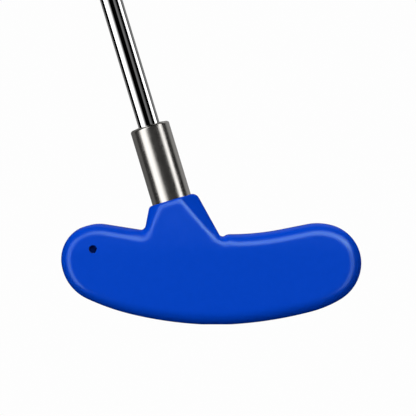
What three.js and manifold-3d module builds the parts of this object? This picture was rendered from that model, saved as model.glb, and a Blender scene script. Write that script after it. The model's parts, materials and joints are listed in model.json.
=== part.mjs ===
// A two-way mini golf putter: a steel-cored, over-moulded head with the same striking face on both
// sides, a steel hosel sleeve, a stepped chromed shaft and a rubber grip.
//
// Millimetres, +Z up. The origin is the middle of the small flat that the sole rests on.
// +X points to the toe, -Y is the front striking face, and the shaft leans towards the heel.

import * as THREE from 'three';
import { mergeVertices } from 'three/addons/utils/BufferGeometryUtils.js';
import { ConvexGeometry } from 'three/addons/geometries/ConvexGeometry.js';
import Module from 'manifold-3d';

const wasm = await Module();
wasm.setup();

// ---- Head ---------------------------------------------------------------------------------------

const HEAD_THICKNESS = 22;
const HEAD_EDGE_ROUND = 4.5;
const HEAD_EDGE_STEPS = 5;
const ARC_STEP = 4; // longest stretch of a straight facet along the outline's arcs

const PIN_HOLE = { x: -52, z: 32.35, radius: 1.65, depthInCore: 3 };

// ---- Neck ---------------------------------------------------------------------------------------

const NECK_FRONT_HALF_DEPTH = 10.6; // at the neck's top; the foot is as thick as the head
const NECK_SIDE_HALF_DEPTH = 4.3;
const NECK_FRONT_HALF_WIDTH = 4.1;
const NECK_HEEL_HALF_WIDTH = 10.1;
const NECK_TOE_HALF_WIDTH = 10.7;
const NECK_FOOT = { z: 32, heelSide: -31.3, heelRidge: -29.4, toeRidge: 3.2, toeSide: 5.6, sideHalfDepth: 8 };

// ---- Shaft line: distances are measured up the shaft's axis from the ground line ------------------

const SHAFT_LEAN = THREE.MathUtils.degToRad(16.85);
const SHAFT_FOOT_X = -1.95;
const NECK_TOP = 55.9;
const CLUB_LENGTH = 889;

const CORE_WALL = 6; // cover outside the core, all round the outline
const CORE_THICKNESS = 11;
const CORE_EDGE = 1;
const SOCKET_RADIUS = 8.3;
const SOCKET_TOP = 45.6;
const SOCKET_FOOT = 20;

const SLEEVE_RADIUS = 8.6;
const SLEEVE_FOOT = 45.9;
const SLEEVE_TOP = 89.6;
const SLEEVE_SHOULDER = { inset: 1.4, drop: 1.1, coneRise: 0.35 }; // a rounded edge, then a low cone

const SHAFT_TIP_RADIUS = 4.7;
const SHAFT_BUTT_RADIUS = 7.35;
const SHAFT_WALL = 1;
const SHAFT_TIP = 18;
const SHAFT_BUTT = 884.5;
const SHAFT_STEPS = 9;
const FIRST_STEP = 262;
const STEP_PITCH = 37;
const STEP_LENGTH = 1.5;

const PLUG_LENGTH = 10;

const TAPE_THICKNESS = 0.4;
const TAPE_END = 6; // bare shaft left above the grip's mouth and below its top

const GRIP_LENGTH = 262;
const GRIP_MOUTH_RADIUS = 9.6;
const GRIP_TOP_RADIUS = 13.4;
const GRIP_LIP = 3;
const GRIP_SHOULDER = 1.2;
const THUMB_FLAT_AT_MOUTH = 9.2; // from the axis to the flat, at the grip's mouth
const THUMB_FLAT_AT_TOP = 10.6; // the same at its top

const CAP_THICKNESS = 4;
const CAP_ROUND = 1.6;
const CAP_SPIGOT_LENGTH = 8;
const VENT_RADIUS = 1.1;

const FIT_GAP = 0.15; // between a round piece and the bore it sits in
const END_GAP = 0.3; // between pieces that meet end to end, and round the core

const ROUND_SEGMENTS = 36;

// ---- Shape helpers -------------------------------------------------------------------------------

/** A closed solid for cutting and joining, from a three.js geometry. */
function solidOf(geometry) {
  const bare = geometry.clone();
  bare.deleteAttribute('normal');
  bare.deleteAttribute('uv');
  const merged = mergeVertices(bare, 1e-4);
  return new wasm.Manifold(new wasm.Mesh({
    numProp: 3,
    vertProperties: new Float32Array(merged.attributes.position.array),
    triVerts: new Uint32Array(merged.index.array),
  }));
}

/** The three.js geometry of a cut or joined solid. */
function geometryOf(solid) {
  const mesh = solid.getMesh();
  const geometry = new THREE.BufferGeometry();
  geometry.setAttribute('position', new THREE.BufferAttribute(new Float32Array(mesh.vertProperties), 3));
  geometry.setIndex(new THREE.BufferAttribute(new Uint32Array(mesh.triVerts), 1));
  geometry.computeVertexNormals();
  return geometry;
}

/** Adds to a shape the circular arc from its current point through via to end. */
function arcThrough(shape, [viaX, viaY], [endX, endY]) {
  const { x, y } = shape.currentPoint;
  const turn = 2 * ((viaX - x) * (endY - y) - (viaY - y) * (endX - x));
  const via = (viaX - x) ** 2 + (viaY - y) ** 2;
  const end = (endX - x) ** 2 + (endY - y) ** 2;
  const centreX = x + (via * (endY - y) - end * (viaY - y)) / turn;
  const centreY = y + (end * (viaX - x) - via * (endX - x)) / turn;
  const radius = Math.hypot(x - centreX, y - centreY);
  const startAngle = Math.atan2(y - centreY, x - centreX);
  const endAngle = Math.atan2(endY - centreY, endX - centreX);
  const clockwise = turn < 0;
  const full = 2 * Math.PI;
  const sweep = clockwise
    ? -((((startAngle - endAngle) % full) + full) % full)
    : (((endAngle - startAngle) % full) + full) % full;
  const steps = Math.max(2, Math.ceil(Math.abs(sweep) * radius / ARC_STEP));
  for (let i = 1; i <= steps; i += 1) {
    const angle = startAngle + sweep * i / steps;
    shape.lineTo(centreX + radius * Math.cos(angle), centreY + radius * Math.sin(angle));
  }
}

/** The head's outline without its neck, x along the head and y up. */
function bladeOutline() {
  const outline = new THREE.Shape();
  outline.moveTo(-5, 0);
  outline.lineTo(7, 0);
  arcThrough(outline, [24.1, 1.8], [41, 5.25]); // sole, rising to the toe
  arcThrough(outline, [48, 7.55], [54.5, 10.8]);
  arcThrough(outline, [61, 17.5], [63.35, 26.4]); // toe
  arcThrough(outline, [60, 36.3], [51.5, 42.4]);
  arcThrough(outline, [45.7, 43.45], [39.8, 42.95]);
  outline.lineTo(29.9, 41);
  arcThrough(outline, [18.8, 39.3], [7.6, 38.7]); // hollow back beside the neck
  outline.lineTo(-31.6, 40.6);
  outline.lineTo(-46.4, 42.95);
  arcThrough(outline, [-51.3, 43.1], [-56.1, 42]);
  arcThrough(outline, [-63.4, 35.8], [-65.4, 26.4]); // heel
  arcThrough(outline, [-61.9, 17.3], [-54.45, 11.1]);
  arcThrough(outline, [-44, 6.9], [-33.15, 3.85]); // sole, rising to the heel
  arcThrough(outline, [-19.15, 1.35], [-5, 0]);
  return outline;
}

/** An outline drawn in x and z, as thick as said along Y about the middle plane, with rounded edges. */
function slab(outline, thickness, edge, edgeSteps, offset) {
  const geometry = new THREE.ExtrudeGeometry(outline, {
    depth: thickness - 2 * edge,
    bevelEnabled: true,
    bevelThickness: edge,
    bevelSize: edge,
    bevelOffset: offset - edge,
    bevelSegments: edgeSteps,
  });
  geometry.translate(0, 0, -(thickness - 2 * edge) / 2);
  geometry.rotateX(Math.PI / 2);
  return geometry;
}

/** A body turned about +Z from [radius, height] points, which close on themselves. */
function turned(points, segments = ROUND_SEGMENTS) {
  const closed = [...points, points[0]].map(([radius, height]) => new THREE.Vector2(radius, height));
  const geometry = new THREE.LatheGeometry(closed, segments);
  geometry.rotateX(Math.PI / 2);
  return geometry;
}

/** A round rod along +Z between two heights, for cutting bores. */
function rod(radius, from, to, segments = ROUND_SEGMENTS) {
  const geometry = new THREE.CylinderGeometry(radius, radius, to - from, segments);
  geometry.rotateX(Math.PI / 2);
  geometry.translate(0, 0, (from + to) / 2);
  return geometry;
}

/** Places a geometry drawn along the shaft's axis in the head's frame. */
function alongShaft(geometry) {
  return geometry.rotateY(-SHAFT_LEAN).translate(SHAFT_FOOT_X, 0, 0);
}

/** A round rod along Y at the locating pin's hole. */
function pinRod(fromY, toY) {
  const geometry = new THREE.CylinderGeometry(PIN_HOLE.radius, PIN_HOLE.radius, toY - fromY, 24);
  return geometry.translate(PIN_HOLE.x, (fromY + toY) / 2, PIN_HOLE.z);
}

// ---- Sub-parts of the head -------------------------------------------------------------------------

/** The neck: eight-sided, growing from its flat top into the head. */
function neck() {
  const middleX = SHAFT_FOOT_X - NECK_TOP * Math.sin(SHAFT_LEAN);
  const middleZ = NECK_TOP * Math.cos(SHAFT_LEAN);
  const across = (half, depth) => new THREE.Vector3(
    middleX + half * Math.cos(SHAFT_LEAN),
    depth,
    middleZ + half * Math.sin(SHAFT_LEAN),
  );
  const points = [];
  for (const side of [-1, 1]) {
    points.push(across(-NECK_HEEL_HALF_WIDTH, side * NECK_SIDE_HALF_DEPTH));
    points.push(across(-NECK_FRONT_HALF_WIDTH, side * NECK_FRONT_HALF_DEPTH));
    points.push(across(NECK_FRONT_HALF_WIDTH, side * NECK_FRONT_HALF_DEPTH));
    points.push(across(NECK_TOE_HALF_WIDTH, side * NECK_SIDE_HALF_DEPTH));
    points.push(new THREE.Vector3(NECK_FOOT.heelSide, side * NECK_FOOT.sideHalfDepth, NECK_FOOT.z));
    points.push(new THREE.Vector3(NECK_FOOT.heelRidge, side * HEAD_THICKNESS / 2, NECK_FOOT.z));
    points.push(new THREE.Vector3(NECK_FOOT.toeRidge, side * HEAD_THICKNESS / 2, NECK_FOOT.z));
    points.push(new THREE.Vector3(NECK_FOOT.toeSide, side * NECK_FOOT.sideHalfDepth, NECK_FOOT.z));
  }
  return new ConvexGeometry(points);
}

/** The core's plate and shaft socket, grown on every side by the same amount. */
function coreBlank(grow) {
  const plate = slab(bladeOutline(), CORE_THICKNESS + 2 * grow, CORE_EDGE, 1, grow - CORE_WALL);
  const socket = alongShaft(rod(SOCKET_RADIUS + grow, SOCKET_FOOT, SOCKET_TOP + grow));
  return solidOf(plate).add(solidOf(socket));
}

function headCoverGeometry() {
  const blade = solidOf(slab(bladeOutline(), HEAD_THICKNESS, HEAD_EDGE_ROUND, HEAD_EDGE_STEPS, 0));
  const sleeveBore = alongShaft(rod(SLEEVE_RADIUS + FIT_GAP, SOCKET_TOP - END_GAP, NECK_TOP + 5));
  const pinHole = pinRod(-HEAD_THICKNESS, 0);
  return geometryOf(
    blade
      .add(solidOf(neck()))
      .subtract(coreBlank(END_GAP))
      .subtract(solidOf(sleeveBore))
      .subtract(solidOf(pinHole)),
  );
}

function headCoreGeometry() {
  const shaftBore = alongShaft(rod(SHAFT_TIP_RADIUS + FIT_GAP, SHAFT_TIP - END_GAP, SOCKET_TOP + 5));
  const pinHole = pinRod(-HEAD_THICKNESS, PIN_HOLE.depthInCore - CORE_THICKNESS / 2);
  return geometryOf(coreBlank(0).subtract(solidOf(shaftBore)).subtract(solidOf(pinHole)));
}

// ---- Sub-parts along the shaft ----------------------------------------------------------------------

function hoselSleeveGeometry() {
  const bore = SHAFT_TIP_RADIUS + FIT_GAP;
  const { inset, drop, coneRise } = SLEEVE_SHOULDER;
  const coneFoot = SLEEVE_TOP - coneRise;
  return turned([
    [bore, SLEEVE_FOOT],
    [SLEEVE_RADIUS - 0.5, SLEEVE_FOOT],
    [SLEEVE_RADIUS, SLEEVE_FOOT + 0.5],
    [SLEEVE_RADIUS, coneFoot - drop],
    [SLEEVE_RADIUS - 0.3 * inset, coneFoot - 0.3 * drop],
    [SLEEVE_RADIUS - inset, coneFoot],
    [bore, SLEEVE_TOP],
  ]);
}

function tipPlugGeometry() {
  const radius = SHAFT_TIP_RADIUS - SHAFT_WALL - FIT_GAP;
  const chamfer = 0.8;
  const profile = [
    [0, SHAFT_TIP],
    [radius, SHAFT_TIP],
    [radius, SHAFT_TIP + PLUG_LENGTH - chamfer],
    [radius - chamfer, SHAFT_TIP + PLUG_LENGTH],
    [0, SHAFT_TIP + PLUG_LENGTH],
  ];
  const geometry = new THREE.LatheGeometry(
    profile.map(([r, height]) => new THREE.Vector2(r, height)),
    ROUND_SEGMENTS,
  );
  return geometry.rotateX(Math.PI / 2);
}

function shaftGeometry() {
  const rise = (SHAFT_BUTT_RADIUS - SHAFT_TIP_RADIUS) / SHAFT_STEPS;
  const outside = [[SHAFT_TIP_RADIUS, SHAFT_TIP]];
  for (let step = 0; step < SHAFT_STEPS; step += 1) {
    const height = FIRST_STEP + step * STEP_PITCH;
    const radius = SHAFT_TIP_RADIUS + step * rise;
    outside.push([radius, height]);
    outside.push([radius + rise, height + STEP_LENGTH]);
  }
  outside.push([SHAFT_BUTT_RADIUS, SHAFT_BUTT]);
  const lastStep = FIRST_STEP + (SHAFT_STEPS - 1) * STEP_PITCH;
  const inside = [
    [SHAFT_BUTT_RADIUS - SHAFT_WALL, SHAFT_BUTT],
    [SHAFT_BUTT_RADIUS - SHAFT_WALL, lastStep + STEP_PITCH],
    [SHAFT_TIP_RADIUS - SHAFT_WALL, FIRST_STEP],
    [SHAFT_TIP_RADIUS - SHAFT_WALL, SHAFT_TIP],
  ];
  return turned([...outside, ...inside]);
}

const GRIP_TOP = CLUB_LENGTH - CAP_THICKNESS - END_GAP;
const GRIP_MOUTH = CLUB_LENGTH - GRIP_LENGTH;

function gripTapeGeometry() {
  const inside = SHAFT_BUTT_RADIUS + FIT_GAP;
  const outside = inside + TAPE_THICKNESS;
  return turned([
    [inside, GRIP_MOUTH + TAPE_END],
    [outside, GRIP_MOUTH + TAPE_END],
    [outside, GRIP_TOP - TAPE_END],
    [inside, GRIP_TOP - TAPE_END],
  ]);
}

/** The space on the toe side of the grip's thumb flat, which leans with the grip's taper. */
function thumbFlatCutter() {
  const lean = Math.atan2(THUMB_FLAT_AT_TOP - THUMB_FLAT_AT_MOUTH, GRIP_LENGTH);
  const reach = 20;
  const cutter = new THREE.BoxGeometry(reach, 4 * GRIP_TOP_RADIUS, 2 * GRIP_LENGTH);
  cutter.translate(reach / 2, 0, 0);
  cutter.rotateY(lean);
  cutter.translate(THUMB_FLAT_AT_MOUTH, 0, GRIP_MOUTH);
  return solidOf(cutter);
}

function gripGeometry() {
  const bore = SHAFT_BUTT_RADIUS + TAPE_THICKNESS + 2 * FIT_GAP;
  const body = turned([
    [bore, GRIP_MOUTH],
    [GRIP_MOUTH_RADIUS - GRIP_SHOULDER, GRIP_MOUTH],
    [GRIP_MOUTH_RADIUS, GRIP_MOUTH + GRIP_LIP],
    [GRIP_MOUTH_RADIUS + 0.6, GRIP_MOUTH + 0.3 * GRIP_LENGTH],
    [GRIP_MOUTH_RADIUS + 2, GRIP_MOUTH + 0.6 * GRIP_LENGTH],
    [GRIP_TOP_RADIUS, GRIP_TOP],
    [bore, GRIP_TOP],
  ]);
  return geometryOf(solidOf(body).subtract(thumbFlatCutter()));
}

function gripCapGeometry() {
  const foot = CLUB_LENGTH - CAP_THICKNESS;
  const spigot = SHAFT_BUTT_RADIUS - SHAFT_WALL - FIT_GAP;
  const cap = turned([
    [VENT_RADIUS, foot - CAP_SPIGOT_LENGTH],
    [spigot, foot - CAP_SPIGOT_LENGTH],
    [spigot, foot],
    [GRIP_TOP_RADIUS, foot],
    [GRIP_TOP_RADIUS, CLUB_LENGTH - CAP_ROUND],
    [GRIP_TOP_RADIUS - 0.12 * CAP_ROUND, CLUB_LENGTH - 0.5 * CAP_ROUND],
    [GRIP_TOP_RADIUS - 0.5 * CAP_ROUND, CLUB_LENGTH - 0.12 * CAP_ROUND],
    [GRIP_TOP_RADIUS - CAP_ROUND, CLUB_LENGTH],
    [VENT_RADIUS, CLUB_LENGTH],
  ]);
  return geometryOf(solidOf(cap).subtract(thumbFlatCutter()));
}

// ---- Assembly -----------------------------------------------------------------------------------------

/** A named sub-part with its own material. */
function part(name, geometry, color, roughness, metalness) {
  const mesh = new THREE.Mesh(geometry, new THREE.MeshStandardMaterial({ color, roughness, metalness }));
  mesh.name = name;
  return mesh;
}

const shaftLine = new THREE.Group();
shaftLine.position.x = SHAFT_FOOT_X;
shaftLine.rotation.y = -SHAFT_LEAN;
shaftLine.add(
  part('hosel_sleeve', hoselSleeveGeometry(), 0x9c9891, 0.32, 1),
  part('tip_plug', tipPlugGeometry(), 0xb79a6b, 0.8, 0),
  part('shaft', shaftGeometry(), 0xc9cbcd, 0.08, 1),
  part('grip_tape', gripTapeGeometry(), 0xd8cfae, 0.7, 0),
  part('grip', gripGeometry(), 0x17181a, 0.75, 0),
  part('grip_cap', gripCapGeometry(), 0x1b1c1e, 0.65, 0),
);

const putter = new THREE.Group();
putter.add(
  part('head_cover', headCoverGeometry(), 0x0440c0, 0.45, 0),
  part('head_core', headCoreGeometry(), 0x6e7073, 0.55, 1),
  shaftLine,
);

export default putter;
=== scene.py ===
"""A two-way mini golf putter: blue over-moulded head, brushed steel sleeve, chromed shaft, rubber grip.

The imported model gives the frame: its shaft line, its radii and its boxes. Shapes are worked out in
millimetres in that frame and written to the meshes in metres. The pieces hidden inside keep their CAD
meshes and get materials; the visible pieces are made anew here.
"""
import json
import math

import bpy
import numpy as np
from mathutils import Matrix, Vector


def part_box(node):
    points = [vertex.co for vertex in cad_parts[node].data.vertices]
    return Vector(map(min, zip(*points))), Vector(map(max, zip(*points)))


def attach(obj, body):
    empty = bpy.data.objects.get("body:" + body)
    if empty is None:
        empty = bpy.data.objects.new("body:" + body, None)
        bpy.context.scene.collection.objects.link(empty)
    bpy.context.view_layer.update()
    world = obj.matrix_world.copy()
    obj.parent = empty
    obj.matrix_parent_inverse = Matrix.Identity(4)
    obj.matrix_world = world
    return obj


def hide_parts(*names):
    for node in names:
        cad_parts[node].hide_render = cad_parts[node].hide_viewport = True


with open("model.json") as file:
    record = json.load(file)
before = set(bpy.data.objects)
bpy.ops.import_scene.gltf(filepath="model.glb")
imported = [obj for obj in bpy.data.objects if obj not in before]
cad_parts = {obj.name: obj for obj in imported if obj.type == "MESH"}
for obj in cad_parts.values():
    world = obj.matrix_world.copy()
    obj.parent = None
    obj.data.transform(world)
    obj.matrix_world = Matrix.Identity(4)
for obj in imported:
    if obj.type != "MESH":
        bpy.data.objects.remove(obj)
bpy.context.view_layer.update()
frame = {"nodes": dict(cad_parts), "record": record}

MM = 0.001
BODY = "root"

# ---- Driving dimensions, in millimetres ------------------------------------------------------------


def span(node, axis):
    """How long a CAD node is along a row axis, in millimetres."""
    low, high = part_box(node)
    return (high[axis] - low[axis]) / MM


HOLD = next(m for m in frame["record"]["mounts"] if m["name"] == "grip_hold")
AXIS = Vector(HOLD["axis"]).normalized()  # up the shaft
LEAN = math.atan2(-AXIS.x, AXIS.z)
FOOT_X = (HOLD["pos_m"][0] - HOLD["pos_m"][2] * AXIS.x / AXIS.z) / MM

HEAD_THICKNESS = span("head_cover", 1)
SLEEVE_RADIUS = span("hosel_sleeve", 1) / 2
BUTT_RADIUS = span("shaft", 1) / 2
GRIP_TOP_RADIUS = span("grip_cap", 1) / 2
TIP_RADIUS = 4.7
CLUB_LENGTH = 889

NECK_TOP = 55.9
SLEEVE_FOOT, SLEEVE_TOP = 45.9, 89.6
SHAFT_TIP, SHAFT_BUTT = 18, 884.5
SHAFT_WALL = 1
FIRST_STEP, STEP_PITCH, STEP_COUNT = 262, 37, 9
STEP_LENGTH = 1.5

GRIP_MOUTH, GRIP_TOP = 627, 884.97
GRIP_OUTSIDE = [(0, 9.6), (0.3, 10.2), (0.6, 11.6), (1, GRIP_TOP_RADIUS)]  # share of its length, radius
THUMB_FLAT = [(0, 9.2), (1, 10.6)]  # share of its length, distance from the axis
CAP_FOOT = 885
CAP_ROUND = 1.6
CAP_INSET = 0.06  # keeps the cap inside the CAD model's box
VENT_RADIUS = 1.1
LIP_ROUND = 1.2  # of the grip's mouth

# The small round hole in the front face. It ends just before the core.
PIN_HOLE = {"x": -51.7, "z": 32.35, "radius": 1.65, "chamfer": 0.25, "depth": 5.4}
PAST_MOUTH = 3  # how far a cutter reaches past the mouth of its hole

# ---- Camera, at the photograph's viewing angle -----------------------------------------------------

LENS = 250  # millimetres, on a 36 mm wide sensor
SENSOR = 36
FRAME_WIDTH = 178.55  # how much of the scene the picture takes in, at the depth of the head's near rim
FRAME_CENTRE = (-2.5, 49.99)  # x and z


def make_camera():
    near_rim = -HEAD_THICKNESS / 4  # roughly where the round edge meets the head's side
    distance = LENS * FRAME_WIDTH / SENSOR
    data = bpy.data.cameras.new("camera")
    data.lens = LENS
    data.sensor_width = SENSOR
    data.clip_end = 50
    camera = bpy.data.objects.new("camera", data)
    camera.location = Vector((FRAME_CENTRE[0], near_rim - distance, FRAME_CENTRE[1])) * MM
    camera.rotation_euler = (math.pi / 2, 0, 0)
    bpy.context.scene.collection.objects.link(camera)
    bpy.context.scene.camera = camera


# ---- Mesh helpers ------------------------------------------------------------------------------------


def new_piece(name, vertices, faces, material, node=None):
    """A smooth-shaded mesh, given in millimetres, that stands for a CAD node."""
    mesh = bpy.data.meshes.new(name)
    mesh.from_pydata([tuple(v) for v in np.asarray(vertices, float) * MM], [], faces)
    mesh.validate()
    mesh.shade_smooth()
    mesh.set_sharp_from_angle(angle=math.radians(40))
    mesh.materials.append(material)
    piece = bpy.data.objects.new(name, mesh)
    bpy.context.scene.collection.objects.link(piece)
    if node:
        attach(piece, BODY)
        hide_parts(node)
    return piece


def along_shaft(points):
    """Points drawn about +Z, with z up the shaft from the ground line, in the row frame."""
    x, y, z = np.asarray(points, float).T
    cos, sin = math.cos(LEAN), math.sin(LEAN)
    return np.column_stack((FOOT_X + x * cos - z * sin, y, x * sin + z * cos))


def arc(centre, radius, start, end, count):
    """Points of a circular arc, its angles in degrees."""
    angles = np.radians(np.linspace(start, end, count))
    return [(centre[0] + radius * math.cos(a), centre[1] + radius * math.sin(a)) for a in angles]


def ring_faces(rows, columns):
    """Quads between closed rings of points, from one row to the next."""
    faces = []
    for row in range(rows - 1):
        for column in range(columns):
            beside = (column + 1) % columns
            faces.append(
                (
                    row * columns + column,
                    row * columns + beside,
                    (row + 1) * columns + beside,
                    (row + 1) * columns + column,
                )
            )
    return faces


def closed_ring_faces(rows, columns):
    """Quads between rings that follow one another and come back to the first."""
    count = rows * columns
    return [tuple(i % count for i in face) for face in ring_faces(rows + 1, columns)]


def turned(profile, segments):
    """One ring of points about +Z for each (radius, height) of a profile."""
    angles = np.linspace(0, 2 * math.pi, segments, endpoint=False)
    circle = np.column_stack((np.cos(angles), np.sin(angles)))
    return [(radius * c, radius * s, height) for radius, height in profile for c, s in circle]


# ---- The head's shape ----------------------------------------------------------------------------------

# The outline, seen from the front, as corner points and, where the stretch to a point is round, a
# point that its arc passes through. It runs from the sole round the toe, the neck and the heel. The
# neck's sides run on past its top, which a plane across the shaft then cuts.
OUTLINE = [
    ((-5, 0), None),
    ((7, 0), None),
    ((40.98, 5.26), (24.12, 1.79)),
    ((54.51, 10.82), (47.96, 7.53)),
    ((63.35, 26.42), (60.95, 17.48)),
    ((51.52, 42.43), (60.0, 36.32)),
    ((39.78, 42.94), (45.68, 43.45)),
    ((29.9, 40.98), None),
    ((7.61, 38.69), (18.81, 39.28)),
    ((5.1, 38.3), (6.35, 38.62)),
    ((2.2, 38.85), (3.55, 37.72)),
    ((-10.9, 62.55), None),
    ((-25.6, 62.2), None),
    ((-29.22, 42.6), None),
    ((-31.6, 40.6), (-29.95, 41.2)),
    ((-46.37, 42.96), None),
    ((-56.08, 42.01), (-51.29, 43.11)),
    ((-65.42, 26.41), (-63.36, 35.77)),
    ((-54.45, 11.08), (-61.94, 17.32)),
    ((-33.16, 3.87), (-44.01, 6.89)),
    ((-5, 0), (-19.16, 1.33)),
]
OUTLINE_STEP = 0.4

EDGE_ROUND_HEEL, EDGE_ROUND_TOE = 4.9, 5.8  # the round edge, from the heel's end to the middle and toe
EDGE_ROUND_FROM, EDGE_ROUND_TO = -66, -15  # where along x it changes
NECK_EDGE_ROUND = 3.6  # on the neck, the round edge is tighter
NECK_EDGE_FROM, NECK_EDGE_FADE = 37, 6  # the height where that starts, and how far it takes
NECK_FACET_HEEL = {"foot": 34, "slope": 0.29, "turn": 51}
NECK_FACET_TOE = {"foot": 27, "slope": 0.265, "turn": 43}
NECK_HEEL, NECK_TOE = -31, 5  # where the facets have faded out along x
NECK_FADE = 7
FACET_TALLEST = 30  # a facet leans in no further than this far above its foot
FACET_BLEND = 6  # across the shaft's line, from the heel's facet to the toe's
FACET_CLEAR = 6  # how far a faded facet stands off the blade
# At the toe-side notch the round edge is tighter, and the facet stands off by a share of that.
NOTCH_EDGE = {"x": 2.5, "z": 37, "reach": 4, "tighter": 2.2, "facet_share": 0.45}
NECK_DRAFT = 0.08  # how much thinner the neck gets, each side, for each millimetre up
NECK_DRAFT_FROM, NECK_DRAFT_EASE = 31, 4  # the height where the draft starts, and how softly
RIDGE_BLEND = 1.4  # between the blade and the facets
NECK_TOP_ROUND = 0.45
NECK_CORNER_ROUND = 1.7  # seen from the front
NECK_CORNER_SKEW = 0.07  # how much rounder for each millimetre towards the toe
NECK_BEVEL = {"height": 1.6, "turn": 18, "blend": 0.4}  # a flat along the neck's top, turned up from the face

HEAD_CELL = 0.7
HEAD_X, HEAD_Z = (-68, 66), (-2, 60)  # the space that the head's surface is looked for in


def arc_through(start, via, end):
    """Points along the arc from start through via to end, without start."""
    (ax, ay), (bx, by), (cx, cy) = start, via, end
    turn = 2 * ((bx - ax) * (cy - ay) - (by - ay) * (cx - ax))
    b = (bx - ax) ** 2 + (by - ay) ** 2
    c = (cx - ax) ** 2 + (cy - ay) ** 2
    x = ax + (b * (cy - ay) - c * (by - ay)) / turn
    y = ay + (c * (bx - ax) - b * (cx - ax)) / turn
    radius = math.hypot(ax - x, ay - y)
    first = math.atan2(ay - y, ax - x)
    last = math.atan2(cy - y, cx - x)
    sweep = (last - first) % (2 * math.pi)
    if turn < 0:
        sweep -= 2 * math.pi
    count = max(2, math.ceil(abs(sweep) * radius / OUTLINE_STEP))
    return [
        (x + radius * math.cos(first + sweep * i / count), y + radius * math.sin(first + sweep * i / count))
        for i in range(1, count + 1)
    ]


def outline_points():
    """The whole outline as a closed run of points."""
    points = [OUTLINE[0][0]]
    for end, via in OUTLINE[1:]:
        points.extend([end] if via is None else arc_through(points[-1], via, end))
    return np.array(points[:-1])


class OutlineDistance:
    """The distance from the head's outline, negative inside, looked up from a fine grid."""

    STEP = 0.25
    MARGIN = 3

    def __init__(self):
        outline = outline_points()
        self.low = outline.min(0) - self.MARGIN
        size = outline.max(0) + self.MARGIN - self.low
        self.shape = np.ceil(size / self.STEP).astype(int) + 1
        x = self.low[0] + self.STEP * np.arange(self.shape[0])
        z = self.low[1] + self.STEP * np.arange(self.shape[1])
        self.values = np.array([self.column(outline, across, z) for across in x])

    @staticmethod
    def column(outline, x, z):
        """Distances down one column of the grid."""
        start = outline
        side = np.roll(outline, -1, axis=0) - start
        offset = np.stack((np.full_like(z, x), z), -1)[:, None] - start
        share = np.clip((offset * side).sum(-1) / (side**2).sum(-1), 0, 1)
        distance = np.linalg.norm(offset - share[..., None] * side, axis=-1).min(1)
        above = start[:, 1] > z[:, None]
        crosses = above != np.roll(above, -1, axis=1)
        rise = np.where(side[:, 1] == 0, 1, side[:, 1])
        at = start[:, 0] + side[:, 0] * (z[:, None] - start[:, 1]) / rise
        inside = (crosses & (at > x)).sum(1) % 2 == 1
        return np.where(inside, -distance, distance)

    def __call__(self, x, z):
        spot = (np.stack((x, z), -1) - self.low) / self.STEP
        spot = np.clip(spot, 0, np.array(self.shape) - 1.001)
        cell = spot.astype(int)
        u, v = (spot - cell).T
        i, j = cell.T
        low = self.values[i, j] * (1 - u) + self.values[i + 1, j] * u
        high = self.values[i, j + 1] * (1 - u) + self.values[i + 1, j + 1] * u
        return low * (1 - v) + high * v


def smooth(t):
    """From 0 to 1 without a corner at either end."""
    t = np.clip(t, 0, 1)
    return t * t * (3 - 2 * t)


def round_both(a, b, radius):
    """The body inside both a and b, its edge rounded to that radius."""
    outside = np.hypot(np.maximum(a + radius, 0), np.maximum(b + radius, 0))
    return np.minimum(np.maximum(a, b) + radius, 0) + outside - radius


def soft_both(a, b, reach):
    """The body inside both a and b, softened where they nearly meet."""
    share = np.maximum(reach - np.abs(a - b), 0) / reach
    return np.maximum(a, b) + share**2 * reach / 4


def neck_facet(facet, side, face, z):
    """A plane that cuts the neck's edge away, further in the higher up. Its turn is 90 for the front face."""
    turn = math.radians(facet["turn"])
    leg = facet["slope"] * np.clip(z - facet["foot"], 0, FACET_TALLEST)
    return (side + leg) * math.cos(turn) + face * math.sin(turn)


def head_field(outline_distance):
    """The head's shape as a function: below zero inside the material, above it outside."""

    def field(points):
        x, y, z = points.T
        cos, sin = math.cos(LEAN), math.sin(LEAN)
        up = (x - FOOT_X) * -sin + z * cos
        across = (x - FOOT_X) * cos + z * sin
        side = outline_distance(x, z)
        above = z - NECK_DRAFT_FROM
        draft = NECK_DRAFT * np.maximum(above, 0) ** 2 / (np.abs(above) + NECK_DRAFT_EASE)
        face = np.abs(y) - HEAD_THICKNESS / 2 + draft
        toward_toe = smooth((x - EDGE_ROUND_FROM) / (EDGE_ROUND_TO - EDGE_ROUND_FROM))
        edge = EDGE_ROUND_HEEL + (EDGE_ROUND_TOE - EDGE_ROUND_HEEL) * toward_toe
        on_neck = smooth((x - NECK_HEEL) / NECK_FADE + 1) * smooth((NECK_TOE - x) / NECK_FADE + 1)
        edge += (NECK_EDGE_ROUND - edge) * on_neck * smooth((z - NECK_EDGE_FROM) / NECK_EDGE_FADE)
        notch = ((x - NOTCH_EDGE["x"]) ** 2 + (z - NOTCH_EDGE["z"]) ** 2) / NOTCH_EDGE["reach"] ** 2
        notch = NOTCH_EDGE["tighter"] * np.exp(-notch)
        edge -= notch
        blade = round_both(side, face, edge)
        toe = smooth(across / FACET_BLEND + 0.5)
        facet = neck_facet(NECK_FACET_HEEL, side, face, z) * (1 - toe)
        facet += neck_facet(NECK_FACET_TOE, side, face, z) * toe
        facet -= FACET_CLEAR * (1 - on_neck) + NOTCH_EDGE["facet_share"] * notch
        body = soft_both(blade, facet, RIDGE_BLEND)
        turn = math.radians(NECK_BEVEL["turn"])
        bevel = face * math.cos(turn) + (up - NECK_TOP + NECK_BEVEL["height"]) * math.sin(turn)
        body = soft_both(body, bevel, NECK_BEVEL["blend"])
        corner = round_both(side, up - NECK_TOP, NECK_CORNER_ROUND + NECK_CORNER_SKEW * across)
        return np.maximum(round_both(body, up - NECK_TOP, NECK_TOP_ROUND), corner)

    return field


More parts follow.
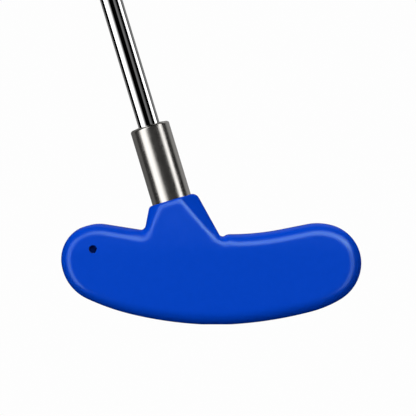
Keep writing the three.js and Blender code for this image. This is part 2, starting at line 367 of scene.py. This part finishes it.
def gradient(field, points, step=0.1):
    """Which way the field rises at each point, and how fast."""
    slope = np.empty_like(points)
    for axis in range(3):
        shift = np.zeros(3)
        shift[axis] = step
        slope[:, axis] = (field(points + shift) - field(points - shift)) / (2 * step)
    return slope


def settle(points, field, rounds=3):
    """Moves points onto the field's zero surface."""
    for _ in range(rounds):
        slope = gradient(field, points)
        length = np.maximum((slope**2).sum(1), 0.2)
        points = points - (field(points) / length)[:, None] * slope
    return points


def surface_net(field, low, high, step):
    """A field's zero surface as quads: a point in each grid cell that it crosses, joined to those beside."""
    axes = [np.arange(a, b + step, step) for a, b in zip(low, high)]
    grid = np.stack(np.meshgrid(*axes, indexing="ij"), -1)
    inside = field(grid.reshape(-1, 3)).reshape(grid.shape[:3]) < 0
    cells = tuple(n - 1 for n in inside.shape)
    corners = sum(
        inside[i : i + cells[0], j : j + cells[1], k : k + cells[2]].astype(int)
        for i in (0, 1)
        for j in (0, 1)
        for k in (0, 1)
    )
    crossed = (corners > 0) & (corners < 8)
    number = np.full(cells, -1)
    number[crossed] = np.arange(crossed.sum())
    points = grid[:-1, :-1, :-1][crossed] + step / 2
    quads = []
    for axis in range(3):
        second, third = (axis + 1) % 3, (axis + 2) % 3
        ahead = np.roll(inside, -1, axis)
        edges = np.argwhere(inside != ahead)
        edges = edges[(edges[:, axis] < cells[axis]) & (edges[:, second] > 0) & (edges[:, third] > 0)]
        around = []
        for back_second, back_third in ((1, 1), (0, 1), (0, 0), (1, 0)):
            cell = edges.copy()
            cell[:, second] -= back_second
            cell[:, third] -= back_third
            around.append(number[tuple(cell.T)])
        ring = np.stack(around, 1)
        leaving = inside[tuple(edges.T)]
        quads.append(np.where(leaving[:, None], ring, ring[:, ::-1]))
    return points, np.concatenate(quads)


def relax(points, quads, field, rounds=3):
    """Evens out the points along the surface."""
    ends = np.concatenate([quads[:, [i, (i + 1) % 4]] for i in range(4)])
    ends = np.concatenate((ends, ends[:, ::-1]))
    count = np.bincount(ends[:, 0], minlength=len(points))[:, None]
    for _ in range(rounds):
        total = np.zeros_like(points)
        np.add.at(total, ends[:, 0], points[ends[:, 1]])
        points = settle(0.5 * points + 0.5 * total / count, field, 1)
    return settle(points, field, 2)


def cut(piece, vertices, faces):
    """Cuts a closed body, given in millimetres, out of a piece."""
    cutter = new_piece("cutter", vertices, faces, piece.data.materials[0])
    modifier = piece.modifiers.new("cut", "BOOLEAN")
    modifier.operation = "DIFFERENCE"
    modifier.solver = "EXACT"
    modifier.object = cutter
    shaped = bpy.data.meshes.new_from_object(piece.evaluated_get(bpy.context.evaluated_depsgraph_get()))
    shaped.set_sharp_from_angle(angle=math.radians(40))
    piece.modifiers.clear()
    piece.data = shaped
    shaped.name = piece.name
    bpy.data.objects.remove(cutter)


def hole_cutter(radius, bottom, mouth, rim, segments):
    """A closed body that cuts a round hole along +Z, whose rim is chamfered by rim.

    It widens at 45 degrees from that chamfer on, and reaches past the mouth.
    """
    profile = [(radius, bottom), (radius, mouth - rim), (radius + rim + PAST_MOUTH, mouth + PAST_MOUTH)]
    vertices = turned(profile, segments)
    faces = ring_faces(len(profile), segments)
    count = len(vertices)
    faces.append(tuple(reversed(range(segments))))
    faces.append(tuple(range(count - segments, count)))
    return vertices, faces


def into_front_face(points):
    """Points drawn about +Z, with z out of the front face, at the pin's hole."""
    x, y, z = np.asarray(points, float).T
    return np.column_stack((PIN_HOLE["x"] + x, -z - HEAD_THICKNESS / 2, PIN_HOLE["z"] + y))


def make_head(material):
    """The moulded head, one closed body, with the bore for the sleeve and the pin hole cut into it."""
    field = head_field(OutlineDistance())
    half_depth = HEAD_THICKNESS / 2 + 2 * HEAD_CELL
    low = (HEAD_X[0], -half_depth, HEAD_Z[0])
    high = (HEAD_X[1], half_depth, HEAD_Z[1])
    points, quads = surface_net(field, low, high, HEAD_CELL)
    points = relax(settle(points, field), quads, field)
    head = new_piece("head_cover_moulding", points, quads.tolist(), material, "head_cover")
    bore, faces = hole_cutter(SLEEVE_RADIUS + 0.1, SLEEVE_FOOT - 0.3, NECK_TOP, 0, 96)
    cut(head, along_shaft(bore), faces)
    hole, faces = hole_cutter(PIN_HOLE["radius"], -PIN_HOLE["depth"], 0, PIN_HOLE["chamfer"], 48)
    cut(head, into_front_face(hole), faces)
    return head


# ---- Pieces along the shaft ----------------------------------------------------------------------------


def turned_piece(name, profile, segments, material, node):
    """A piece turned about the shaft's line from a profile that comes back to its first point."""
    faces = closed_ring_faces(len(profile), segments)
    return new_piece(name, along_shaft(turned(profile, segments)), faces, material, node)


def make_sleeve(material):
    """The steel collar, with a rounded shoulder at its top."""
    bore = TIP_RADIUS + 0.08
    quarter = arc((0, 0), 1, 0, 90, 9)
    shoulder = [(SLEEVE_RADIUS - 1.4 + 1.4 * x, SLEEVE_TOP - 1.45 + 1.1 * z) for x, z in quarter]
    profile = [
        (bore, SLEEVE_FOOT),
        (SLEEVE_RADIUS - 0.4, SLEEVE_FOOT),
        (SLEEVE_RADIUS, SLEEVE_FOOT + 0.4),
        *((SLEEVE_RADIUS, height) for height in np.linspace(SLEEVE_FOOT + 2, SLEEVE_TOP - 3, 12)),
        *shoulder,
        (bore + 0.2, SLEEVE_TOP - 0.02),
        (bore, SLEEVE_TOP - 0.2),
    ]
    return turned_piece("hosel_sleeve_turned", profile, 128, material, "hosel_sleeve")


def make_shaft(material):
    """The stepped tube: it gets wider by one small step after another."""
    rise = (BUTT_RADIUS - TIP_RADIUS) / STEP_COUNT
    outside = [(TIP_RADIUS, SHAFT_TIP)]
    outside.extend((TIP_RADIUS, height) for height in (SHAFT_TIP + 2, SLEEVE_TOP, FIRST_STEP - STEP_PITCH))
    for step in range(STEP_COUNT):
        height = FIRST_STEP + step * STEP_PITCH
        outside.extend(
            (TIP_RADIUS + rise * (step + float(smooth(share))), height + STEP_LENGTH * share)
            for share in np.linspace(-0.5, 1.5, 13)
        )
    outside.append((BUTT_RADIUS, SHAFT_BUTT))
    inside = [
        (BUTT_RADIUS - SHAFT_WALL, SHAFT_BUTT),
        (BUTT_RADIUS - SHAFT_WALL, FIRST_STEP + STEP_COUNT * STEP_PITCH),
        (TIP_RADIUS - SHAFT_WALL, FIRST_STEP),
        (TIP_RADIUS - SHAFT_WALL, SHAFT_TIP),
    ]
    return turned_piece("shaft_tube", [*outside, *inside], 96, material, "shaft")


GRIP_COLUMNS = 160
GRIP_ROW = 0.65
GROOVE_COUNT = 12  # in each direction round the grip
GROOVE_PITCH = 9.5  # between grooves, along the grip
GROOVE_WIDTH, GROOVE_DEPTH = 0.75, 0.45
DIMPLE_PITCH, DIMPLE_WIDTH, DIMPLE_DEPTH = 5.2, 1.5, 0.5
PLAIN_END, PATTERN_FADE = 9, 1.5  # smooth bands at the mouth and the top, and where the pattern starts
TAPE_SPACE = 0.7  # between shaft and grip, for the tape


def grip_section(share, angles):
    """The grip's radius all round, at a share of its length: round, with a thumb flat on the toe's side."""
    around = np.interp(share, *zip(*GRIP_OUTSIDE))
    flat = np.interp(share, *zip(*THUMB_FLAT))
    facing = np.cos(angles)
    to_flat = np.where(facing > 0.2, flat / np.maximum(facing, 0.2), 99)
    blend = 1.2
    near = np.maximum(blend - np.abs(around - to_flat), 0) / blend
    return np.minimum(around, to_flat) - near**2 * blend / 4, to_flat < around


def grip_pattern(height, angles, on_flat):
    """How deep the grip's surface is cut: crossed grooves round the back, and dimples on the thumb flat."""
    turn = angles * GROOVE_COUNT / (2 * math.pi)
    across = 2 * math.pi * GRIP_OUTSIDE[2][1] / GROOVE_COUNT
    gaps = []
    for lean in (-1, 1):
        phase = turn + lean * height / GROOVE_PITCH / 2
        gaps.append(np.abs(phase - np.round(phase)) * across)
    groove = GROOVE_DEPTH * np.exp(-((np.minimum(*gaps) / GROOVE_WIDTH) ** 2))
    beside = angles * GRIP_OUTSIDE[2][1]
    row = np.round(height / DIMPLE_PITCH)
    shifted = beside - (row % 2) * DIMPLE_PITCH / 2
    gap = np.hypot(shifted - np.round(shifted / DIMPLE_PITCH) * DIMPLE_PITCH, height - row * DIMPLE_PITCH)
    dimple = DIMPLE_DEPTH * smooth(1 - gap / DIMPLE_WIDTH)
    return np.where(on_flat, dimple, groove)


def ring(radii, angles, height):
    """Points at that height about +Z, each with its own radius."""
    return np.column_stack((radii * np.cos(angles), radii * np.sin(angles), np.full(len(angles), height)))


def ring_piece(name, rings, material, node):
    """A piece whose closed rings follow one another and come back to the first."""
    faces = closed_ring_faces(len(rings), len(rings[0]))
    return new_piece(name, along_shaft(np.concatenate(rings)), faces, material, node)


def make_grip(material):
    """The rubber grip, its pattern cut into the mesh and its mouth rounded."""
    bore = BUTT_RADIUS + TAPE_SPACE
    length = GRIP_TOP - GRIP_MOUTH
    angles = np.linspace(-math.pi, math.pi, GRIP_COLUMNS, endpoint=False)
    rings = [ring(np.full(GRIP_COLUMNS, bore), angles, GRIP_MOUTH)]
    for height in np.arange(0, length + GRIP_ROW / 2, GRIP_ROW):
        height = min(height, length)
        section, on_flat = grip_section(height / length, angles)
        from_end = min(height, length - height)
        lip = LIP_ROUND - math.sqrt(LIP_ROUND**2 - max(LIP_ROUND - height, 0) ** 2)
        pattern = grip_pattern(height, angles, on_flat) * smooth((from_end - PLAIN_END) / PATTERN_FADE)
        rings.append(ring(section - lip - pattern, angles, GRIP_MOUTH + height))
    rings.append(ring(np.full(GRIP_COLUMNS, bore), angles, GRIP_TOP))
    return ring_piece("grip_rubber", rings, material, "grip")


def make_cap(material):
    """The cap: a plug in the shaft's bore, a rounded rim, and a shallow dish with a vent."""
    spigot = BUTT_RADIUS - SHAFT_WALL - 0.15
    angles = np.linspace(-math.pi, math.pi, 96, endpoint=False)
    circle = np.ones(96)
    section, _ = grip_section(1, angles)
    section = section - CAP_INSET
    rings = [
        ring(circle * VENT_RADIUS, angles, CAP_FOOT - 8),
        ring(circle * spigot, angles, CAP_FOOT - 8),
        ring(circle * spigot, angles, CAP_FOOT),
        ring(section - 0.2, angles, CAP_FOOT),
        ring(section, angles, CAP_FOOT + 0.2),
    ]
    for inward, up in arc((0, 0), CAP_ROUND, 0, 90, 7):
        rings.append(ring(section - CAP_ROUND + inward, angles, CLUB_LENGTH - CAP_ROUND + up))
    for share in (0.5, 0.42, 0.34):
        dish = 0.9 * float(smooth((0.5 - share) / 0.16))
        rings.append(ring(section * share, angles, CLUB_LENGTH - dish))
    rings.append(ring(circle * VENT_RADIUS, angles, CLUB_LENGTH - 0.9))
    return ring_piece("grip_cap_rubber", rings, material, "grip_cap")


# ---- Node trees ------------------------------------------------------------------------------------------


class Nodes:
    """Short ways to add nodes to one tree."""

    def __init__(self, tree):
        self.tree = tree

    def add(self, kind, *inputs, **settings):
        """A node, its settings, and its first inputs: a value, another node's socket, or None to leave it."""
        node = self.tree.nodes.new(kind)
        for name, value in settings.items():
            setattr(node, name, value)
        for socket, value in zip(node.inputs, inputs):
            self.feed(socket, value)
        return node

    def feed(self, socket, value):
        if isinstance(value, bpy.types.NodeSocket):
            self.tree.links.new(value, socket)
        elif value is not None:
            socket.default_value = value

    def math(self, operation, *inputs):
        return self.add("ShaderNodeMath", *inputs, operation=operation).outputs[0]

    def ramp(self, value, low, high, bottom=0.0, top=1.0):
        """From bottom to top, smoothly, as the value goes from low to high."""
        node = self.add("ShaderNodeMapRange", value, low, high, bottom, top, interpolation_type="SMOOTHSTEP")
        return node.outputs[0]

    def noise(self, place, scale, detail=2.0, roughness=0.5):
        """Noise from 0 to 1, with that many features in a millimetre."""
        node = self.add("ShaderNodeTexNoise")
        self.feed(node.inputs["Vector"], place)
        self.feed(node.inputs["Scale"], scale / MM)
        self.feed(node.inputs["Detail"], detail)
        self.feed(node.inputs["Roughness"], roughness)
        return node.outputs[0]

    def mix(self, share, first, second):
        """A colour between two others."""
        node = self.add("ShaderNodeMix", share, data_type="RGBA")
        for socket, value in zip([i for i in node.inputs if i.type == "RGBA"], (first, second)):
            self.feed(socket, value if isinstance(value, bpy.types.NodeSocket) else (*value, 1))
        return next(o for o in node.outputs if o.type == "RGBA")

    def bump(self, height, depth, normal=None):
        """A bump of that depth in millimetres, for a height from 0 to 1."""
        node = self.add("ShaderNodeBump")
        self.feed(node.inputs["Strength"], 1.0)
        self.feed(node.inputs["Distance"], depth * MM)
        self.feed(node.inputs["Height"], height)
        self.feed(node.inputs["Normal"], normal)
        return node.outputs[0]


class Finish(Nodes):
    """A new material, with its shader and the surface's place on the object."""

    def __init__(self, name):
        self.material = bpy.data.materials.new(name)
        self.material.use_nodes = True
        super().__init__(self.material.node_tree)
        self.shader = self.tree.nodes["Principled BSDF"]
        self.place = self.add("ShaderNodeTexCoord").outputs["Object"]

    def set(self, **values):
        """Feeds shader sockets, named with _ for each space."""
        for name, value in values.items():
            self.feed(self.shader.inputs[name.replace("_", " ")], value)

    def up_the_shaft(self):
        """The place turned so that Z runs up the shaft's axis."""
        node = self.add("ShaderNodeMapping", self.place)
        to_shaft = (Matrix.Translation((FOOT_X * MM, 0, 0)) @ Matrix.Rotation(-LEAN, 4, "Y")).inverted()
        node.inputs["Location"].default_value = to_shaft.translation
        node.inputs["Rotation"].default_value = to_shaft.to_euler()
        return node.outputs[0]

    def stretched(self, place, x, y, z):
        """The place with its scale changed along each axis."""
        node = self.add("ShaderNodeMapping", place)
        node.inputs["Scale"].default_value = (x, y, z)
        return node.outputs[0]


# ---- Materials -------------------------------------------------------------------------------------------


def blue_urethane():
    """Moulded satin urethane: faint mottling, a fine grain, a parting line round the middle.

    Inside the pin hole it is painted a darker blue: painted shade for the hole's recess, not the urethane's
    own colour.
    """
    m = Finish("blue_urethane")
    mottle = m.noise(m.place, 0.35, 3)
    grain = m.noise(m.place, 1.6, 2)
    colour = m.mix(mottle, (0.0003, 0.056, 0.575), (0.0004, 0.062, 0.63))
    x, y, z = m.add("ShaderNodeSeparateXYZ", m.place).outputs
    from_middle = m.math("ABSOLUTE", y)
    face = HEAD_THICKNESS / 2
    # painted shade: the pin hole's walls and floor are darkened in the colour, standing in for the shade in
    # the recess
    hole_painted_shade = m.ramp(from_middle, (face - 0.8) * MM, (face - 0.2) * MM, 1.0, 0.0)
    rim = PIN_HOLE["radius"] + PIN_HOLE["chamfer"]
    for across, middle in ((x, PIN_HOLE["x"]), (z, PIN_HOLE["z"])):
        away = m.math("ABSOLUTE", m.math("SUBTRACT", across, middle * MM))
        hole_painted_shade = m.math("MULTIPLY", hole_painted_shade, m.ramp(away, rim * MM, (rim + 0.1) * MM, 1.0, 0.0))
    # the dark blue here is painted shade inside the pin hole
    colour = m.mix(hole_painted_shade, colour, (0.0002, 0.015, 0.15))
    line = m.ramp(from_middle, 0.06 * MM, 0.22 * MM, 1.0, 0.0)
    normal = m.bump(grain, 0.02)
    normal = m.bump(line, 0.08, normal)
    m.set(Base_Color=colour, Roughness=m.ramp(mottle, 0.3, 0.7, 0.22, 0.25), Normal=normal)
    m.set(Specular_Tint=(0.62, 1.0, 0.85, 1.0))
    return m.material


def brushed_steel():
    """Turned steel, brushed along its length, with a warm tint."""
    m = Finish("brushed_steel")
    place = m.up_the_shaft()
    streaks = m.noise(m.stretched(place, 1, 1, 0.03), 3.0, 3, 0.6)
    clouds = m.noise(place, 0.25, 2)
    colour = m.mix(streaks, (0.60, 0.575, 0.54), (0.80, 0.785, 0.76))
    rough = m.math("MULTIPLY_ADD", streaks, 0.10, m.ramp(clouds, 0.3, 0.7, 0.16, 0.2))
    m.set(Base_Color=colour, Metallic=1.0, Roughness=rough, Normal=m.bump(streaks, 0.012))
    return m.material


def chrome_plate():
    """Bright chrome, very slightly uneven and smudged."""
    m = Finish("chrome_plate")
    place = m.up_the_shaft()
    smudge = m.noise(m.stretched(place, 1, 1, 0.2), 0.12, 3)
    drawn = m.noise(m.stretched(place, 1, 1, 0.02), 1.5, 2)
    colour = m.mix(smudge, (0.84, 0.85, 0.86), (0.92, 0.92, 0.92))
    m.set(Base_Color=colour, Metallic=1.0)
    m.set(Roughness=m.ramp(smudge, 0.35, 0.75, 0.03, 0.075), Normal=m.bump(drawn, 0.001))
    return m.material


def black_rubber():
    """Grip rubber: near black, dull, with a fine cast grain and paler patches at random."""
    m = Finish("black_rubber")
    grain = m.noise(m.place, 2.2, 3)
    wear = m.noise(m.place, 0.08, 3)
    colour = m.mix(wear, (0.010, 0.0105, 0.0115), (0.022, 0.022, 0.023))
    m.set(Base_Color=colour, Roughness=m.ramp(wear, 0.3, 0.7, 0.5, 0.66), Normal=m.bump(grain, 0.05))
    return m.material


def cast_iron():
    """The core: rough grey iron, as cast."""
    m = Finish("cast_iron")
    grain = m.noise(m.place, 1.2, 4, 0.6)
    colour = m.mix(grain, (0.08, 0.082, 0.085), (0.2, 0.2, 0.205))
    m.set(Base_Color=colour, Metallic=0.9, Roughness=m.ramp(grain, 0.3, 0.7, 0.45, 0.7))
    m.set(Normal=m.bump(grain, 0.15))
    return m.material


def cork():
    """The tip plug's cork: crumbs of light and dark brown."""
    m = Finish("cork")
    crumbs = m.noise(m.place, 0.9, 4, 0.7)
    colour = m.mix(m.ramp(crumbs, 0.35, 0.65), (0.22, 0.12, 0.055), (0.55, 0.36, 0.19))
    m.set(Base_Color=colour, Roughness=0.85, Normal=m.bump(crumbs, 0.2))
    return m.material


def cloth_tape():
    """Woven tape: crossed threads, 0.5 mm apart."""
    m = Finish("cloth_tape")
    place = m.up_the_shaft()
    x, y, z = m.add("ShaderNodeSeparateXYZ", place).outputs
    around = m.math("MULTIPLY", m.math("ARCTAN2", y, x), 16.0)
    along = m.math("MULTIPLY", z, 2.0 / MM * math.pi)
    weave = m.math("MULTIPLY", m.math("SINE", m.math("MULTIPLY", around, 6.0)), m.math("SINE", along))
    height = m.math("MULTIPLY_ADD", weave, 0.5, 0.5)
    colour = m.mix(height, (0.45, 0.4, 0.28), (0.68, 0.62, 0.46))
    m.set(Base_Color=colour, Roughness=0.8, Normal=m.bump(height, 0.06))
    return m.material


def studio_floor():
    """A pale floor as bright as the backdrop."""
    material = bpy.data.materials.new("studio_floor")
    material.use_nodes = True
    tree = material.node_tree
    tree.nodes.clear()
    nodes = Nodes(tree)
    glow = nodes.add("ShaderNodeEmission", (BACKGROUND, BACKGROUND, BACKGROUND, 1), 1.0)
    tree.links.new(glow.outputs[0], nodes.add("ShaderNodeOutputMaterial").inputs["Surface"])
    return material


# ---- Light and floor ---------------------------------------------------------------------------------------

BACKGROUND = 0.985
LIT_POINT = Vector((0, 0, 30)) * MM  # what the panels face


def soft_panel(name, azimuths, elevations, distance, radiance, edges, pieces):
    """A soft panel of light, seen only by these pieces.

    Azimuth 0 is towards the camera, and it grows towards the toe's side; both ranges are in degrees, and
    the distance is in metres. The edges say over how many degrees the light fades in at the first azimuth,
    out at the last one, and at both ends.
    """
    azimuth, elevation = (math.radians(sum(pair) / 2) for pair in (azimuths, elevations))
    half_width, half_height = (math.radians((pair[1] - pair[0]) / 2) for pair in (azimuths, elevations))
    light = bpy.data.lights.new(name, "AREA")
    light.shape = "RECTANGLE"
    light.size = 2 * distance * math.tan(half_width)
    light.size_y = 2 * distance * math.tan(half_height)
    light.energy = radiance * math.pi * light.size * light.size_y
    light.use_nodes = True
    nodes = Nodes(light.node_tree)
    parametric = nodes.add("ShaderNodeNewGeometry").outputs["Parametric"]
    u, v, _ = nodes.add("ShaderNodeSeparateXYZ", parametric).outputs
    glow = nodes.ramp(u, 0.0, edges[0] / (2 * math.degrees(half_width)))
    fade = nodes.ramp(u, 1 - edges[1] / (2 * math.degrees(half_width)), 1.0, 1.0, 0.0)
    glow = nodes.math("MULTIPLY", glow, fade)
    end = edges[2] / (2 * math.degrees(half_height))
    for edge in (nodes.ramp(v, 0.0, end), nodes.ramp(v, 1 - end, 1.0, 1.0, 0.0)):
        glow = nodes.math("MULTIPLY", glow, edge)
    nodes.feed(light.node_tree.nodes["Emission"].inputs["Strength"], glow)
    panel = bpy.data.objects.new(name, light)
    away = Vector(
        (
            math.sin(azimuth) * math.cos(elevation),
            -math.cos(azimuth) * math.cos(elevation),
            math.sin(elevation),
        )
    )
    panel.location = LIT_POINT + distance * away
    panel.rotation_euler = (-away).to_track_quat("-Z", "Y").to_euler()
    panel.visible_camera = False
    bpy.context.scene.collection.objects.link(panel)
    lit = bpy.data.collections.new(name)
    for piece in pieces:
        lit.objects.link(piece)
    panel.light_linking.receiver_collection = lit
    return panel


def light_head(pieces):
    """Lights for the head: edge lights for its reflections, and fills for its diffuse colour.

    The edge lights show only in reflections, and draw the bright lines along the round edge. The fills
    show in no reflection: for that they also leave out multiple importance sampling.
    """
    edge_lights = [
        soft_panel("head_top", (-32, 60), (15, 62), 0.35, 4.0, (44, 8, 15), pieces),
        soft_panel("head_heel_side", (-60, -22), (-35, 40), 0.7, 2.5, (6, 6, 8), pieces),
        soft_panel("head_toe_side", (24, 60), (-35, 40), 0.5, 1.6, (6, 6, 8), pieces),
    ]
    for light in edge_lights:
        light.visible_diffuse = False
    fills = [
        soft_panel("head_front", (-56, 22), (-5, 41), 1.5, 3.8, (5, 5, 5), pieces),
        soft_panel("head_above", (-30, 30), (80, 130), 0.8, 1.7, (5, 5, 5), pieces),
        soft_panel("head_wall", (98, 228), (-50, 60), 1.2, 0.5, (5, 5, 5), pieces),
        soft_panel("head_toe_wall", (108, 160), (-25, 45), 1.2, 1.4, (5, 5, 5), pieces),
        soft_panel("head_below", (150, 210), (-75, -25), 0.8, 1.2, (5, 5, 5), pieces),
    ]
    for fill in fills:
        fill.visible_glossy = False
        fill.data.cycles.use_multiple_importance_sampling = False


def light_sleeve(pieces):
    """Two broad bright bands, one on each side of a darker front, and weaker light from behind."""
    soft_panel("sleeve_heel_side", (-70, -14), (-60, 50), 1.0, 1.6, (12, 24, 5), pieces)
    soft_panel("sleeve_heel_dim", (-116, -64), (-60, 50), 1.0, 0.017, (5, 5, 5), pieces)
    soft_panel("sleeve_front", (-30, 60), (-50, 50), 1.0, 0.035, (5, 50, 5), pieces)
    soft_panel("sleeve_toe_side", (42, 74), (-50, 60), 1.0, 1.6, (14, 6, 5), pieces)
    soft_panel("sleeve_behind", (-170, -100), (-60, 60), 1.0, 0.13, (5, 12, 5), pieces)
    soft_panel("sleeve_behind_toe_side", (102, 170), (-60, 60), 1.0, 0.3, (16, 5, 5), pieces)


def light_shaft(pieces):
    """Hard-edged bands either side of a black middle, with a dim stripe in it."""
    soft_panel("shaft_heel_side", (-88, -24), (-60, 50), 1.0, 1.8, (3, 40, 5), pieces)
    soft_panel("shaft_stripe", (10, 46), (-50, 50), 1.0, 0.17, (8, 24, 5), pieces)
    soft_panel("shaft_toe_side", (68, 103), (-50, 60), 1.0, 1.6, (3, 3, 5), pieces)
    soft_panel("shaft_behind", (-170, -122), (-60, 60), 1.0, 0.2, (5, 5, 5), pieces)
    soft_panel("shaft_behind_toe_side", (104, 170), (-60, 60), 1.0, 0.2, (24, 5, 5), pieces)


def make_world():
    """Near white for the camera; for light, black before the object and dim grey behind and above it."""
    world = bpy.data.worlds.new("studio")
    bpy.context.scene.world = world
    world.use_nodes = True
    tree = world.node_tree
    tree.nodes.clear()
    nodes = Nodes(tree)
    direction = nodes.add("ShaderNodeTexCoord").outputs["Generated"]
    x, y, z = nodes.add("ShaderNodeSeparateXYZ", direction).outputs
    middle = nodes.ramp(nodes.math("ABSOLUTE", x), 0.3, 0.55, 1.0, 0.0)
    light = nodes.math("MULTIPLY", nodes.ramp(z, 0.2, 0.6), nodes.ramp(y, 0.05, 0.4, 0.0, 0.27))
    light = nodes.math("MULTIPLY", light, middle)
    mix = nodes.add("ShaderNodeMix", nodes.add("ShaderNodeLightPath").outputs["Is Camera Ray"])
    background = nodes.add("ShaderNodeBackground", None, 1.0)
    nodes.feed(mix.inputs[2], light)
    nodes.feed(mix.inputs[3], BACKGROUND)
    nodes.feed(background.inputs["Color"], mix.outputs[0])
    output = nodes.add("ShaderNodeOutputWorld")
    tree.links.new(background.outputs[0], output.inputs["Surface"])


def make_floor():
    """A plain floor that only the camera sees: it neither lights nor shades the object."""
    side = 4000
    corners = [(-side, -side, 0), (side, -side, 0), (side, side, 0), (-side, side, 0)]
    floor = new_piece("floor", corners, [(0, 1, 2, 3)], studio_floor())
    floor.visible_glossy = False
    floor.visible_diffuse = False
    floor.visible_shadow = False


# ---- The scene -------------------------------------------------------------------------------------------

head = make_head(blue_urethane())
head.visible_glossy = False  # so that steel and chrome don't mirror it
sleeve = make_sleeve(brushed_steel())
shaft = make_shaft(chrome_plate())
rubber = black_rubber()
grip = make_grip(rubber)
cap = make_cap(rubber)

hidden = {"head_core": cast_iron(), "tip_plug": cork(), "grip_tape": cloth_tape()}
for node, material in hidden.items():
    frame["nodes"][node].data.materials.clear()
    frame["nodes"][node].data.materials.append(material)

light_head([head, grip, cap, *(frame["nodes"][node] for node in hidden)])
light_sleeve([sleeve])
light_shaft([shaft])
make_world()
make_floor()
make_camera()
bpy.context.scene.view_settings.view_transform = "Standard"
